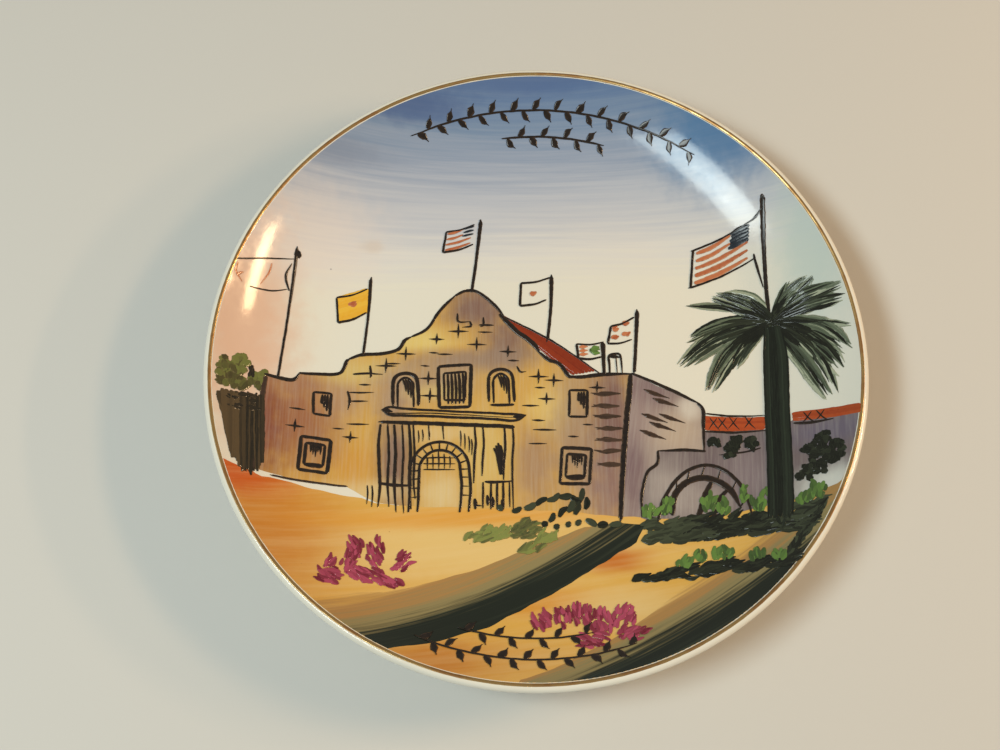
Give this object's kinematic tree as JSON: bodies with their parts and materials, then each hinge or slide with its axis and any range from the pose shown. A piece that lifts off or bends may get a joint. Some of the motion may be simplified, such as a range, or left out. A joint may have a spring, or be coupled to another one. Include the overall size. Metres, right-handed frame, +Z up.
{
  "type": "souvenir plate",
  "caption": "Small round porcelain wall plate on a foot ring, with a gilt line on the lip and a hand-painted enamel scene of a mission church with flags, palm and path.",
  "frame": {"origin": "centre of the plane that the foot ring rests on", "axes": "+Z up out of the painted face, +Y towards the top of the picture, +X to the picture's right"},
  "size_m": [0.127, 0.127, 0.0176],
  "materials": {
    "white_porcelain": "dense white porcelain under the glaze",
    "bare_porcelain": "unglazed fired biscuit, matt, slightly rough and soiled",
    "ivory_glaze": "high-gloss ivory-white glaze with faint orange peel",
    "gilt": "thin worn dark gilt line",
    "blue_sky_enamel": "glossy translucent blue enamel, brushed and fading to ivory",
    "ochre_wall_enamel": "glossy yellow-ochre wash with mauve shading",
    "mauve_wall_enamel": "glossy mauve-grey wash",
    "orange_sand_enamel": "glossy orange to yellow sand wash, brushed",
    "dark_green_enamel": "glossy dark green brushed enamel",
    "olive_green_enamel": "glossy olive green brushed enamel",
    "leaf_green_enamel": "glossy leaf green brushed enamel",
    "brick_red_enamel": "glossy brick red enamel",
    "yellow_enamel": "glossy warm yellow enamel",
    "magenta_enamel": "glossy magenta enamel dabs",
    "black_liner_enamel": "brown-black liner enamel, slightly raised"
  },
  "bodies": {
    "root": {"porcelain_body": "white_porcelain", "foot_ring": "bare_porcelain", "glaze_coat": "ivory_glaze", "rim_gilt_line": "gilt", "sky_wash": "blue_sky_enamel", "facade_wash": "ochre_wall_enamel", "side_wall_wash": "mauve_wall_enamel", "wing_wash": "mauve_wall_enamel", "ground_wash": "orange_sand_enamel", "near_path_stroke": "dark_green_enamel", "far_path_stroke": "dark_green_enamel", "gable_roof": "brick_red_enamel", "wing_roof": "brick_red_enamel", "church_outline": "black_liner_enamel", "stone_marks": "black_liner_enamel", "upper_windows": "black_liner_enamel", "lower_windows": "black_liner_enamel", "cornice": "black_liner_enamel", "door_surround": "black_liner_enamel", "door_arch": "black_liner_enamel", "arcade_arch": "black_liner_enamel", "flagpoles": "black_liner_enamel", "flag_outlines": "black_liner_enamel", "flag_yellow_cloth": "yellow_enamel", "flag_red_stripes": "brick_red_enamel", "flag_green_patch": "leaf_green_enamel", "left_tree": "olive_green_enamel", "palm_trunk": "dark_green_enamel", "palm_fronds": "dark_green_enamel", "dark_shrubs": "dark_green_enamel", "green_bushes": "leaf_green_enamel", "court_leaves": "olive_green_enamel", "left_flowers": "magenta_enamel", "right_flowers": "magenta_enamel", "top_ornament": "black_liner_enamel", "bottom_ornament": "black_liner_enamel"}
  },
  "joints": []
}
